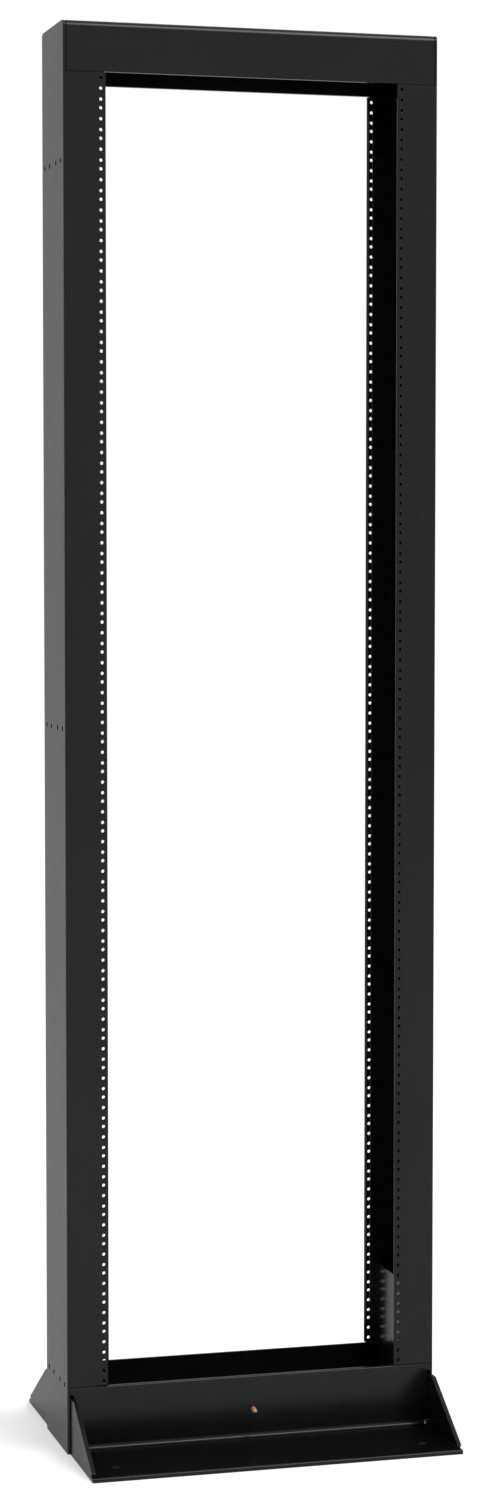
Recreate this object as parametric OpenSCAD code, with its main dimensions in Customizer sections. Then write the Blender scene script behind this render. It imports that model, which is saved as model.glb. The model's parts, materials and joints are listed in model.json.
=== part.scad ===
// Two post open frame rack: two folded channel posts, a header channel across
// the top and two folded feet that reach to the front and to the back.
// X runs across the rack, -Y is the front, Z = 0 is the floor.

/* [Rack space] */
// Number of rack units between the foot and the header
rack_units = 44; // [8:1:44]
// Height from the floor to the underside of the lowest unit
base_h = 101.6; // [90:0.1:130]
// Height from the top of the highest unit to the top of the header
header_h = 76.2; // [50:0.1:110]
// Clear width between the mounting rails
opening_w = 450.85; // [450:0.05:456]

/* [Posts] */
// Face width of each mounting rail with its corner
rail_w = 63.5; // [45:0.1:80]
// Depth of the posts over the faces of both rails
post_depth = 154.94; // [76:0.01:400]
// Sheet thickness of the posts
post_t = 2.66; // [2:0.01:4]
// Outside radius of the folded post corners
post_bend_r = 3.5; // [3:0.1:6]

/* [Rail holes] */
// Distance from the inner edge of a rail to its column of holes
hole_inset = 7.125; // [6:0.005:9]
// Diameter of the rail holes
rail_hole_d = 5; // [4:0.1:6.5]

/* [Side holes] */
// Diameter of the holes in the post webs
side_hole_d = 7.9; // [5:0.1:11]
// Distance between the two inner side holes
side_hole_inner = 44.45; // [30:0.05:60]
// Distance between the two outer side holes
side_hole_outer = 111.125; // [80:0.005:130]
// Height of the lowest row of side holes above the floor
side_row_low = 101.6; // [60:0.1:200]
// Step from the lowest row of side holes to the middle row
side_row_mid_step = 990.6; // [100:0.1:1200]
// Step from the middle row of side holes to the top row
side_row_top_step = 838.2; // [100:0.1:900]

/* [Base plates] */
// Width of the box that each base plate closes at the foot of its post
boxed_w = 44.45; // [30:0.05:50]
// Height of the base plates
base_plate_h = 228.6; // [150:0.1:400]

/* [Header] */
// Plate thickness of the header
header_t = 6.35; // [2:0.05:8]
// Outside radius of the folds along the top of the header
header_bend_r = 11.5; // [9:0.1:16]

/* [Feet] */
// Plate thickness of the feet
foot_t = 6.35; // [3:0.05:10]
// Reach of each foot beyond the face of the rails
foot_reach = 155.2; // [120:0.1:220]
// Inside radius of the fold between the upright and the floor plate
foot_bend_r = 6.35; // [3:0.05:10]
// Rounding of the top edges of the upright and the toe
edge_r = 3.4; // [0.5:0.1:6]
// Height of the gussets at the upright
gusset_top = 85.6; // [60:0.1:90]
// Height of the gussets at their toe end
gusset_toe_h = 12.5; // [11:0.1:25]
// Distance from the end of the gusset slope to the toe
gusset_setback = 9.2; // [6:0.1:20]
// Length of the level edge at the top of each gusset
gusset_ledge = 26; // [5:0.1:40]
// Height and depth of the notch under the toe end of each gusset
toe_notch = 3.2; // [1:0.1:4]
// Height of the slot above each gusset
slot_h = 4.2; // [1:0.1:8]
// Width of the relief beside each end of the fold
relief_w = 3.6; // [1:0.1:8]
// Reach of the relief beside each end of the fold
relief_reach = 8; // [6.4:0.1:12]
// Diameter of the relief hole in the lower corner of each gusset
relief_d = 7; // [3:0.1:8]

/* [Joints] */
// Gap between the posts and the ends of the header
header_gap = 1.3; // [0.3:0.1:2]
// Gap between the posts and the sides of the feet
foot_gap = 0.4; // [0.3:0.1:2]
// Gap between the ends of the rails and the header or foot
end_gap = 0.9; // [0.3:0.1:4]

/* [Anchor holes] */
// Diameter of the floor anchor holes
anchor_d = 17.5; // [10:0.1:22]
// Distance from the side of the rack to the anchor holes
anchor_inset = 50.8; // [30:0.1:120]
// Distance from the face of the rails to the anchor holes
anchor_reach = 101.6; // [40:0.1:130]

/* [Ground stud] */
// Height of the ground stud above the floor
stud_z = 49; // [30:0.1:80]
// Diameter of the ground stud
stud_d = 5; // [3:0.05:8]
// Length of the stud in front of the foot
stud_len = 18; // [8:0.1:30]
// Width of the ground nut across its flats
nut_flats = 8; // [6:0.1:14]
// Height of the ground nut
nut_h = 4.7; // [2:0.1:7]
// Diameter of the washer under the ground nut
washer_d = 9; // [6:0.1:20]
// Thickness of the washer under the ground nut
washer_t = 1.2; // [0.5:0.1:3]

/* [Hidden] */
unit_h = 44.45;
unit_holes = [6.35, 22.225, 38.1];
panel_top = base_h + rack_units * unit_h;
rack_h = panel_top + header_h;
rack_w = opening_w + 2 * rail_w;
web_x = rack_w / 2;
face_y = post_depth / 2;
nest_x = web_x - post_bend_r;
header_w = 2 * (nest_x - header_gap);
foot_w = 2 * (nest_x - foot_gap);
header_z = panel_top + 2 * end_gap;
foot_h = base_h - end_gap;
rail_z0 = base_h;
rail_z1 = header_z - end_gap;
fold_h = foot_t + foot_bend_r;
slope_end = foot_reach - gusset_setback;
side_rows = [side_row_low, side_row_low + side_row_mid_step,
             side_row_low + side_row_mid_step + side_row_top_step];
steel_black = [0.01, 0.01, 0.0105];
copper = [0.72, 0.35, 0.2];
$fn = 48;

// Quarter of a disc in the quadrant where x and y are positive, with a round
// hole of radius r_in at its centre.
module quarter(r_out, r_in = 0) {
    intersection() {
        difference() {
            circle(r = r_out);
            if (r_in > 0) circle(r = r_in);
        }
        square(r_out);
    }
}

// Upright leg of a profile from x = 0 to x = t, with its top corner at x = t rounded.
module rounded_leg(t, height) {
    square([t, height - edge_r]);
    square([t - edge_r, height]);
    translate([t - edge_r, height - edge_r]) quarter(edge_r);
}

// Extrudes a profile drawn in forward and up directions across the rack.
module across(length) {
    translate([length / 2, 0, 0]) rotate([90, 0, -90]) linear_extrude(length) children();
}

// Places a piece made for the front at the front or at the back.
module at_face(back = false) {
    mirror([0, back ? 1 : 0, 0]) translate([0, -face_y, 0]) children();
}

// Places a piece made for the left side on the left or on the right.
module at_side(right = false) {
    mirror([right ? 1 : 0, 0, 0]) children();
}

// Side view of the posts, whose top corners follow the folds of the header.
module post_outline() {
    square([face_y, rack_h - header_bend_r]);
    square([face_y - header_bend_r, rack_h]);
    translate([face_y - header_bend_r, rack_h - header_bend_r]) quarter(header_bend_r);
}

// Plan of the left post's web with its two folded corners.
module web_plan() {
    translate([-web_x, 0]) square([post_t, face_y - post_bend_r]);
    translate([-nest_x, face_y - post_bend_r]) mirror([1, 0]) quarter(post_bend_r, post_bend_r - post_t);
}

// Web of the left post with its two folded corners, over the whole height.
module post_web() {
    color(steel_black) difference() {
        intersection() {
            linear_extrude(rack_h) union() {
                web_plan();
                mirror([0, 1]) web_plan();
            }
            translate([-web_x - 1, 0, 0]) rotate([90, 0, 90]) linear_extrude(post_bend_r + 2) union() {
                post_outline();
                mirror([1, 0]) post_outline();
            }
        }
        for (z = side_rows, y = [-side_hole_outer, -side_hole_inner, side_hole_inner, side_hole_outer] / 2)
            translate([-web_x + post_t / 2, y, z]) rotate([0, 90, 0])
                cylinder(d = side_hole_d, h = 2 * post_t, center = true);
    }
}

// Left mounting rail: the flat of the post's flange with one column of holes.
module rail() {
    color(steel_black) difference() {
        translate([-nest_x, 0, rail_z0]) cube([rail_w - post_bend_r, post_t, rail_z1 - rail_z0]);
        for (unit = [0 : rack_units - 1], hole = unit_holes)
            translate([-opening_w / 2 - hole_inset, post_t / 2, base_h + unit * unit_h + hole])
                rotate([90, 0, 0]) cylinder(d = rail_hole_d, h = 2 * post_t, center = true, $fn = 24);
    }
}

// Left base plate: it joins the two rails and boxes in the foot of the post.
module base_plate() {
    rails_depth = post_depth - 2 * post_t;
    feet_depth = post_depth - 2 * foot_t - 2 * end_gap;
    color(steel_black) translate([-web_x + boxed_w - post_t, 0, 0]) union() {
        translate([0, -rails_depth / 2, rail_z0]) cube([post_t, rails_depth, base_plate_h - rail_z0]);
        translate([0, -feet_depth / 2, 0]) cube([post_t, feet_depth, rail_z0]);
    }
}

// Face of the header, from its free lower edge up to the fold.
module header_face() {
    color(steel_black) translate([-header_w / 2, 0, header_z])
        cube([header_w, header_t, rack_h - header_bend_r - header_z]);
}

// Top of the header with the folds that join it to the two faces.
module header_top() {
    flat = post_depth - 2 * header_bend_r;
    color(steel_black) across(header_w) union() {
        translate([-flat / 2, rack_h - header_t]) square([flat, header_t]);
        for (side = [0, 1]) mirror([side, 0])
            translate([flat / 2, rack_h - header_bend_r]) quarter(header_bend_r, header_bend_r - header_t);
    }
}

// Upright of a foot: it is as wide as the foot above the gussets, and fits between them below.
module foot_web() {
    color(steel_black) difference() {
        across(foot_w) translate([-foot_t, fold_h]) rounded_leg(foot_t, foot_h - fold_h);
        for (side = [0, 1]) mirror([side, 0, 0])
            translate([-foot_w / 2 - 1, -1, 0]) cube([foot_t + 1, foot_t + 2, gusset_top + slot_h]);
    }
}

// Floor plate of a foot, from its fold at the upright to the toe, which is as wide as the foot.
module foot_plate() {
    color(steel_black) difference() {
        across(foot_w) union() {
            translate([foot_bend_r, fold_h]) rotate(180) quarter(fold_h, foot_bend_r);
            translate([foot_reach, 0]) rotate(90) rounded_edge_plate();
        }
        for (side = [0, 1]) mirror([side, 0, 0]) {
            translate([-foot_w / 2 - 1, -slope_end, -1]) cube([foot_t + 1, slope_end + foot_t + 1, fold_h + 2]);
            translate([-foot_w / 2 - 1, -relief_reach, -1])
                cube([foot_t + relief_w + 1, relief_reach + foot_t + 1, fold_h + 2]);
        }
        for (x = [-1, 1] * (web_x - anchor_inset))
            translate([x, -anchor_reach, foot_t / 2]) cylinder(d = anchor_d, h = 2 * foot_t, center = true);
    }
}

// Flat of the floor plate, drawn back from the toe, with the toe's top edge rounded.
module rounded_edge_plate() {
    length = foot_reach - foot_bend_r;
    translate([0, edge_r]) square([foot_t, length - edge_r]);
    square([foot_t - edge_r, length]);
    translate([foot_t - edge_r, edge_r]) mirror([0, 1]) quarter(edge_r);
}

// Gusset at the left end of a foot, from the back of the upright to the toe.
module gusset() {
    color(steel_black) translate([-foot_w / 2, 0, 0])
        rotate([90, 0, -90]) translate([0, 0, -foot_t]) linear_extrude(foot_t) difference() {
            polygon([[-foot_t, 0], [slope_end, 0], [slope_end, foot_t],
                     [slope_end - toe_notch, foot_t], [slope_end - toe_notch, foot_t + toe_notch],
                     [slope_end, foot_t + toe_notch], [slope_end, gusset_toe_h],
                     [gusset_ledge, gusset_top], [-foot_t, gusset_top]]);
            translate([relief_reach / 2, fold_h - relief_d / 2]) circle(d = relief_d);
        }
}

// Threaded ground stud, welded to the front foot.
module ground_stud() {
    color(copper) translate([0, 0, stud_z]) rotate([90, 0, 0]) cylinder(d = stud_d, h = stud_len);
}

// Flat washer on the ground stud.
module ground_washer() {
    color(copper) translate([0, 0, stud_z]) rotate([90, 0, 0]) difference() {
        cylinder(d = washer_d, h = washer_t);
        translate([0, 0, -1]) cylinder(d = stud_d, h = washer_t + 2);
    }
}

// Hexagon nut on the ground stud.
module ground_nut() {
    color(copper) translate([0, -washer_t, stud_z]) rotate([90, 0, 0]) difference() {
        cylinder(d = nut_flats / cos(30), h = nut_h, $fn = 6);
        translate([0, 0, -1]) cylinder(d = stud_d, h = nut_h + 2);
    }
}

at_side() post_web();  // left_post_web
at_face() at_side() rail();  // left_front_rail
at_face(back = true) at_side() rail();  // left_back_rail
at_side() base_plate();  // left_base_plate
at_side(right = true) post_web();  // right_post_web
at_face() at_side(right = true) rail();  // right_front_rail
at_face(back = true) at_side(right = true) rail();  // right_back_rail
at_side(right = true) base_plate();  // right_base_plate
at_face() header_face();  // header_front
header_top();
at_face(back = true) header_face();  // header_back
at_face() foot_web();  // front_foot_web
at_face() foot_plate();  // front_foot_plate
at_face() at_side() gusset();  // front_left_gusset
at_face() at_side(right = true) gusset();  // front_right_gusset
at_face(back = true) foot_web();  // back_foot_web
at_face(back = true) foot_plate();  // back_foot_plate
at_face(back = true) at_side() gusset();  // back_left_gusset
at_face(back = true) at_side(right = true) gusset();  // back_right_gusset
at_face() ground_stud();
at_face() ground_nut();
at_face() ground_washer();
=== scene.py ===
"""Two post open frame rack: finishes, welds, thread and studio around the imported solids."""

import json
import math

import bpy
import numpy as np
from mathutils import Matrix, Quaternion, Vector


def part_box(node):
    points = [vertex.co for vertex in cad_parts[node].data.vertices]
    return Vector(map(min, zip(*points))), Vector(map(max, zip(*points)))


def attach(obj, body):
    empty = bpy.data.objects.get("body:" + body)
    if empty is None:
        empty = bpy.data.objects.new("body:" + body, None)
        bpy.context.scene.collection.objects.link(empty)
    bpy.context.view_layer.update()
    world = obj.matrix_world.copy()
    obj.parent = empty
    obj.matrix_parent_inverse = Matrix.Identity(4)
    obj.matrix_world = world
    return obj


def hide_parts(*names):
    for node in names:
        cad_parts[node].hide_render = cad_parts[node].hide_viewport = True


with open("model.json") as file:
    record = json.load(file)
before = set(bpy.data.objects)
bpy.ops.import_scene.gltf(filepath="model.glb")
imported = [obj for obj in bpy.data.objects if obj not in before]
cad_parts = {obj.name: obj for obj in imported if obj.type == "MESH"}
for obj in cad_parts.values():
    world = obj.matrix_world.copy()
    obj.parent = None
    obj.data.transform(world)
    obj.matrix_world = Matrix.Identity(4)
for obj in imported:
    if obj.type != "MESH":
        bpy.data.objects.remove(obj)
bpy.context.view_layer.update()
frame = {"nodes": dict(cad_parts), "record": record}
record = frame["record"]

MM = 0.001


# ---------------------------------------------------------------- camera

def look_from(place, yaw, pitch, roll, lens, shift):
    """Camera at place, turned yaw from +Y towards +X, pitch above the horizon, roll about its own axis."""
    data = bpy.data.cameras.new("studio_camera")
    data.lens, data.sensor_width = lens, 36.0
    data.shift_x, data.shift_y = shift
    data.clip_start, data.clip_end = 0.1, 200.0
    camera = bpy.data.objects.new("studio_camera", data)
    bpy.context.scene.collection.objects.link(camera)
    ahead = Vector((math.sin(yaw) * math.cos(pitch), math.cos(yaw) * math.cos(pitch), math.sin(pitch)))
    camera.rotation_mode = "QUATERNION"
    camera.rotation_quaternion = ahead.to_track_quat("-Z", "Y") @ Quaternion((0, 0, 1), roll)
    camera.location = place
    bpy.context.scene.camera = camera


look_from(place=(-1.2920, -4.7432, 1.3656), yaw=math.radians(15.55), pitch=math.radians(-3.54),
          roll=math.radians(0.02), lens=77.256, shift=(-0.00987, -0.00407))


# ---------------------------------------------------------------- shader expressions

class Wire:
    """One value in a material's node tree. Sums, differences and products of wires add Math nodes."""

    def __init__(self, finish, socket):
        self.finish, self.socket = finish, socket

    def math(self, operation, *others):
        return self.finish.add("Math", {"operation": operation}, dict(enumerate((self,) + others)))

    def __add__(self, other): return self.math("ADD", other)
    def __mul__(self, other): return self.math("MULTIPLY", other)
    def __sub__(self, other): return self.math("SUBTRACT", other)
    def __radd__(self, other): return self + other
    def __rmul__(self, other): return self * other

    def span(self, low, high):
        """0 below low, 1 above high and a smooth step between."""
        return self.finish.add("MapRange", {"interpolation_type": "SMOOTHSTEP"},
                               {"Value": self, "From Min": low, "From Max": high})


class Finish:
    """A material or a world being written: add() makes any node, and close() ends it with a shader."""

    def __init__(self, owner):
        self.owner = owner
        owner.use_nodes = True
        self.tree = owner.node_tree
        self.tree.nodes.clear()

    def add(self, kind, settings=None, inputs=None, out=0):
        """Node of one kind with its settings set first, then its sockets joined or filled."""
        node = self.tree.nodes.new("ShaderNode" + kind)
        for key, value in (settings or {}).items():
            setattr(node, key, value)
        for key, value in (inputs or {}).items():
            if isinstance(value, Wire):
                self.tree.links.new(value.socket, node.inputs[key])
            else:
                node.inputs[key].default_value = value
        return Wire(self, node.outputs[out])

    def noise(self, size, detail=2.0, stretch=(1, 1, 1)):
        """Noise from 0 to 1 whose blotches are about size metres wide, stretched along the axes."""
        where = self.add("Mapping", {"vector_type": "POINT"},
                         {"Vector": self.add("TexCoord", out="Object"),
                          "Scale": [1 / (size * s) for s in stretch]})
        return self.add("TexNoise", {}, {"Vector": where, "Scale": 1.0, "Detail": detail, "Roughness": 0.55})

    def blend(self, amount, first, second):
        """Colour that goes from first to second as amount goes from 0 to 1."""
        return self.add("Mix", {"data_type": "RGBA"}, {0: amount, 6: (*first, 1), 7: (*second, 1)}, out=2)

    def bump(self, height, depth, strength=1.0):
        """Normal of a relief: height from 0 to 1 times depth in metres."""
        return self.add("Bump", {}, {"Height": height, "Distance": depth, "Strength": strength})

    def principled(self, **inputs):
        """Principled shader, with underscores in the names read as spaces."""
        return self.add("BsdfPrincipled", {}, {key.replace("_", " "): value for key, value in inputs.items()})

    def half_gloss(self, share, colour, roughness, normal):
        """Ends the finish as a coat whose surface is gloss over that share and matt over the rest."""
        gloss = self.principled(Base_Color=colour, Roughness=roughness, Normal=normal, IOR=COAT_IOR)
        matt = self.add("BsdfDiffuse", {}, {"Color": colour, "Normal": normal})
        self.close(self.add("MixShader", {}, {0: share, 1: matt, 2: gloss}))

    def close(self, shader, target="Material"):
        """Output node of a material or of the world, fed by the shader."""
        output = self.tree.nodes.new("ShaderNodeOutput" + target)
        self.tree.links.new(shader.socket, output.inputs["Surface"])


# ---------------------------------------------------------------- finishes

COAT_IOR = 1.5


def powder_coat():
    """Semi-gloss black powder coat, half gloss and half matt: orange peel, slow changes in gloss,
    faint rubbed haze."""
    f = Finish(bpy.data.materials.new("black_powder_coat"))
    peel, wave, grain = f.noise(0.0016, 1.0), f.noise(0.009), f.noise(0.0007)
    cloud = f.noise(0.16, 4.0, stretch=(1, 1, 2.2))
    haze = f.noise(0.035, 5.0, stretch=(1.6, 1.6, 0.7)).span(0.52, 0.78)
    f.half_gloss(share=0.465 + 0.06 * (cloud - 0.5),
                 colour=f.blend(cloud.span(0.3, 0.7) * 0.6 + haze * 0.4,
                                (0.0026, 0.0026, 0.0028), (0.0040, 0.0040, 0.0042)),
                 roughness=0.2 + 0.045 * (cloud - 0.5) + 0.05 * haze + 0.03 * (grain - 0.5),
                 normal=f.bump(peel * 0.7 + wave * 0.3, 0.03 * MM, 0.35))
    return f.owner


def weld_coat():
    """The same coat over weld beads, a little rougher where it pulled thin over the ripples."""
    f = Finish(bpy.data.materials.new("coated_weld"))
    fleck = f.noise(0.0012, 3.0)
    f.half_gloss(share=0.45,
                 colour=f.blend(fleck.span(0.4, 0.8), (0.0014, 0.0014, 0.0016), (0.0034, 0.0033, 0.0032)),
                 roughness=0.30 + 0.10 * fleck,
                 normal=f.bump(fleck, 0.08 * MM, 0.5))
    return f.owner


def copper_metal(bright, dull):
    """Copper coloured plating with darker handled patches and fine turned scratches."""
    f = Finish(bpy.data.materials.new("copper_plated_steel"))
    patch = f.noise(0.004, 4.0).span(0.35, 0.7)
    turn = f.noise(0.0009, 3.0, stretch=(4, 0.25, 4))
    f.close(f.principled(Base_Color=f.blend(patch, bright, dull), Metallic=1.0,
                         Roughness=0.24 + 0.16 * patch + 0.08 * (turn - 0.5),
                         Normal=f.bump(turn, 0.04 * MM, 0.4)))
    return f.owner


black = powder_coat()
seam_black = weld_coat()
copper = copper_metal(bright=(0.62, 0.30, 0.17), dull=(0.30, 0.14, 0.08))

FINISH_OF_SLOT = {"painted_steel": black, "copper_plating": copper}

for part in record["subparts"]:
    node = frame["nodes"][part["node"]]
    node.data.materials.clear()
    node.data.materials.append(FINISH_OF_SLOT[part["material_slot"]])
    join = node.modifiers.new("join_seams", "WELD")
    join.merge_threshold = 0.01 * MM
    if not part["node"].endswith("_rail"):
        edge = node.modifiers.new("rounded_edges", "BEVEL")
        edge.width, edge.segments = 0.4 * MM, 2
        edge.limit_method, edge.angle_limit = "ANGLE", math.radians(38)
    shade = node.modifiers.new("flat_faces_stay_flat", "WEIGHTED_NORMAL")
    shade.mode, shade.weight = "FACE_AREA", 50


# ---------------------------------------------------------------- surfaces

def tube(name, grid, material):
    """Piece from rings of points (ring, place round it, xyz): each cell between two rings is one quad,
    the last place of a ring joins its first, and the first and last rings are closed by one face."""
    index = np.arange(grid.shape[0] * grid.shape[1]).reshape(grid.shape[:2])
    a = np.hstack([index, index[:, :1]])
    faces = np.stack([a[:-1, :-1], a[1:, :-1], a[1:, 1:], a[:-1, 1:]], -1).reshape(-1, 4).tolist()
    faces += [index[0].tolist(), index[-1][::-1].tolist()]
    mesh = bpy.data.meshes.new(name)
    mesh.from_pydata(grid.reshape(-1, 3).tolist(), [], faces)
    mesh.materials.append(material)
    mesh.polygons.foreach_set("use_smooth", np.ones(len(mesh.polygons), bool))
    mesh.update()
    piece = bpy.data.objects.new(name, mesh)
    bpy.context.scene.collection.objects.link(piece)
    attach(piece, "root")
    return piece


def weld_bead(name, start, end, radius):
    """Bead along a straight corner: a round rod on the corner's line, whose radius swells by a
    raised sine once every ripple and slowly by a second sine whose phase wanders with a third, and
    shrinks as a quarter circle over its last two radii. Each ring leans forward on one side."""
    ripple, sides = 2.3 * MM, 14
    start, end = np.array(start, float), np.array(end, float)
    length = np.linalg.norm(end - start)
    along = (end - start) / length
    side = np.cross(along, (0.0, 0.0, 1.0) if abs(along[2]) < 0.9 else (1.0, 0.0, 0.0))
    side /= np.linalg.norm(side)
    up = np.cross(side, along)
    s = np.linspace(0, length, max(24, int(length / ripple * 6)))[:, None]
    turn = np.linspace(0, 2 * np.pi, sides, endpoint=False)[None, :]
    close = np.clip(np.minimum(s, length - s) / (2 * radius), 0.0, 1.0)
    taper = np.sqrt(1 - (1 - close) ** 2) * 0.92 + 0.08
    wander = np.sin(s / length * 23 + 3 * np.sin(s * 170))
    swell = 1 + 0.10 * np.abs(np.sin(np.pi * s / ripple)) + 0.06 * wander
    r = radius * taper * swell
    lean = s + 0.35 * r * np.cos(turn)
    grid = sum(axis * place[..., None] for axis, place in
               ((along, lean), (side, r * np.cos(turn)), (up, r * np.sin(turn)))) + start
    return tube(name, grid, seam_black)


def threaded_rod(name, base, length, radius):
    """Screw along -Y: the radius falls from its crest by the thread's depth along a rounded V, whose
    place turns once round for every pitch, and the last turn runs down to a chamfered tip."""
    pitch = 0.8 * MM
    depth = 0.61 * pitch
    y = np.linspace(0, length, int(length / pitch * 14))[:, None]
    turn = np.linspace(0, 2 * np.pi, 48, endpoint=False)[None, :]
    phase = (y / pitch - turn / (2 * np.pi)) % 1.0
    valley = np.clip(1.16 - 2.3 * np.abs(phase - 0.5), 0, 1) ** 1.2
    fade = np.clip((length - y) / (0.9 * pitch), 0, 1)
    r = np.minimum(radius - depth * valley, radius - 0.8 * depth * (1 - fade))
    grid = np.stack([base[0] + r * np.cos(turn), base[1] - y + 0 * turn, base[2] + r * np.sin(turn)], -1)
    return tube(name, grid, copper)


# ---------------------------------------------------------------- pieces added to the solids

def corners(node):
    """Lowest and highest corner of a node's box as arrays."""
    return [np.array(corner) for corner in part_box(node)]


stud_lo, stud_hi = corners("ground_stud")
stud_mid = (stud_lo + stud_hi) / 2
thread = threaded_rod("ground_stud_thread", (stud_mid[0], stud_hi[1], stud_mid[2]),
                      stud_hi[1] - stud_lo[1], (stud_hi[0] - stud_lo[0]) / 2)
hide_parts("ground_stud")


def foot_welds_and_shade_plugs(end, out):
    """Beads at both gussets of one foot: a fillet weld along the floor plate and, as painted shade, a dark
    plug in the relief cut beside the fold and a dark plug in the gusset's relief hole, both a little below
    the plates."""
    for side, inner, inward in (("left", 1, 1), ("right", 0, -1)):
        gusset = corners(f"{end}_{side}_gusset")
        plate = gusset[1][0] - gusset[0][0]
        x = gusset[inner][0]
        toe, root = (gusset[0][1], gusset[1][1]) if out < 0 else (gusset[1][1], gusset[0][1])
        weld_bead(f"{end}_{side}_gusset_weld", (x, root + out * 22 * MM, plate),
                  (x, toe - out * 6 * MM, plate), 1.6 * MM)
        # painted shade: a dark plug that fills the relief cut beside the fold and stands in for the shade
        # inside it
        notch_x, notch_z = x + inward * 1.8 * MM, 2.5 * MM
        weld_bead(f"{end}_{side}_corner_shade_plug", (notch_x, root + out * 8.5 * MM, notch_z),
                  (notch_x, root - out * 2 * MM, notch_z), 2.1 * MM)
        # painted shade: a dark plug that fills the gusset's relief hole and stands in for the shade seen
        # through it
        relief, sunk = (root + out * 4 * MM, 9.2 * MM), 1.5 * MM
        weld_bead(f"{end}_{side}_relief_shade_plug", (gusset[0][0] + sunk, *relief),
                  (gusset[1][0] - sunk, *relief), 3.3 * MM)


def seam_welds(end, out):
    """Beads inside the posts, behind the seams round the header and the foot of one face."""
    bead = 1.5 * MM
    header, foot = corners(f"header_{end}"), corners(f"{end}_foot_web")
    for side, sign in (("left", -1), ("right", 1)):
        rail = corners(f"{side}_{end}_rail")
        face = rail[0 if out < 0 else 1][1]
        behind = face - out * (rail[1][1] - rail[0][1] + 0.5 * bead)
        inner, outer = (rail[1][0], rail[0][0]) if sign < 0 else (rail[0][0], rail[1][0])
        for place, z in (("header", (rail[1][2] + header[0][2]) / 2),
                         ("foot", (rail[0][2] + foot[1][2]) / 2)):
            weld_bead(f"{side}_{end}_{place}_seam_weld", (inner + sign * bead, behind, z),
                      (outer, behind, z), bead)
        for place, plate, clear, radius in (("header", header, 0.0, bead),
                                            ("foot", foot, 16 * MM, 0.8 * bead)):
            x = (outer + plate[0 if sign < 0 else 1][0]) / 2
            weld_bead(f"{side}_{end}_{place}_end_weld", (x, behind, plate[0][2] + clear),
                      (x, behind, plate[1][2]), radius)


for end, out in (("front", -1), ("back", 1)):
    foot_welds_and_shade_plugs(end, out)
    seam_welds(end, out)


# ---------------------------------------------------------------- studio

def seen_rays(f):
    """1 for what the camera sees directly, in reflections and through openings, 0 for light alone."""
    camera, glossy, through = (f.add("LightPath", out=f"Is {kind} Ray")
                               for kind in ("Camera", "Glossy", "Transmission"))
    return camera.math("MAXIMUM", glossy).math("MAXIMUM", through)


def plain_world(light, backdrop):
    """Even studio light of one level round the rack, with the backdrop seen at its own white."""
    bpy.context.scene.world = bpy.data.worlds.new("studio")
    f = Finish(bpy.context.scene.world)
    lit, seen = (f.add("Background", {}, {"Color": (1, 1, 1, 1), "Strength": level})
                 for level in (light, backdrop))
    f.close(f.add("MixShader", {}, {0: seen_rays(f), 1: lit, 2: seen}), "World")


def pale_floor(half, colour, lift):
    """Wide flat floor at the rack's underside: matt, and lifted to the backdrop's white where seen."""
    mesh = bpy.data.meshes.new("studio_floor")
    mesh.from_pydata([(-half, -half, 0), (half, -half, 0), (half, half, 0), (-half, half, 0)],
                     [], [(0, 1, 2, 3)])
    floor = bpy.data.objects.new("studio_floor", mesh)
    bpy.context.scene.collection.objects.link(floor)
    f = Finish(bpy.data.materials.new("pale_floor"))
    matt = f.add("BsdfDiffuse", {}, {"Color": (colour, colour, colour, 1)})
    glow = f.add("Emission", {}, {"Color": (1, 1, 1, 1), "Strength": seen_rays(f) * lift})
    f.close(f.add("AddShader", {}, {0: matt, 1: glow}))
    mesh.materials.append(f.owner)


def soft_lamp(name, place, target, size, watts):
    """Large square soft lamp at place, turned to target."""
    data = bpy.data.lights.new(name, "AREA")
    data.shape, data.size, data.energy = "SQUARE", size, watts
    lamp = bpy.data.objects.new(name, data)
    lamp.location = place
    lamp.rotation_mode = "QUATERNION"
    lamp.rotation_quaternion = (Vector(target) - Vector(place)).to_track_quat("-Z", "Y")
    bpy.context.scene.collection.objects.link(lamp)


plain_world(light=0.9, backdrop=1.0)
pale_floor(half=60.0, colour=0.8, lift=0.3)
soft_lamp("overhead_softbox", place=(2.06, -3.0, 7.3), target=(0.0, -0.1, 0.2), size=2.8, watts=180)

bpy.context.scene.view_settings.view_transform = "Standard"
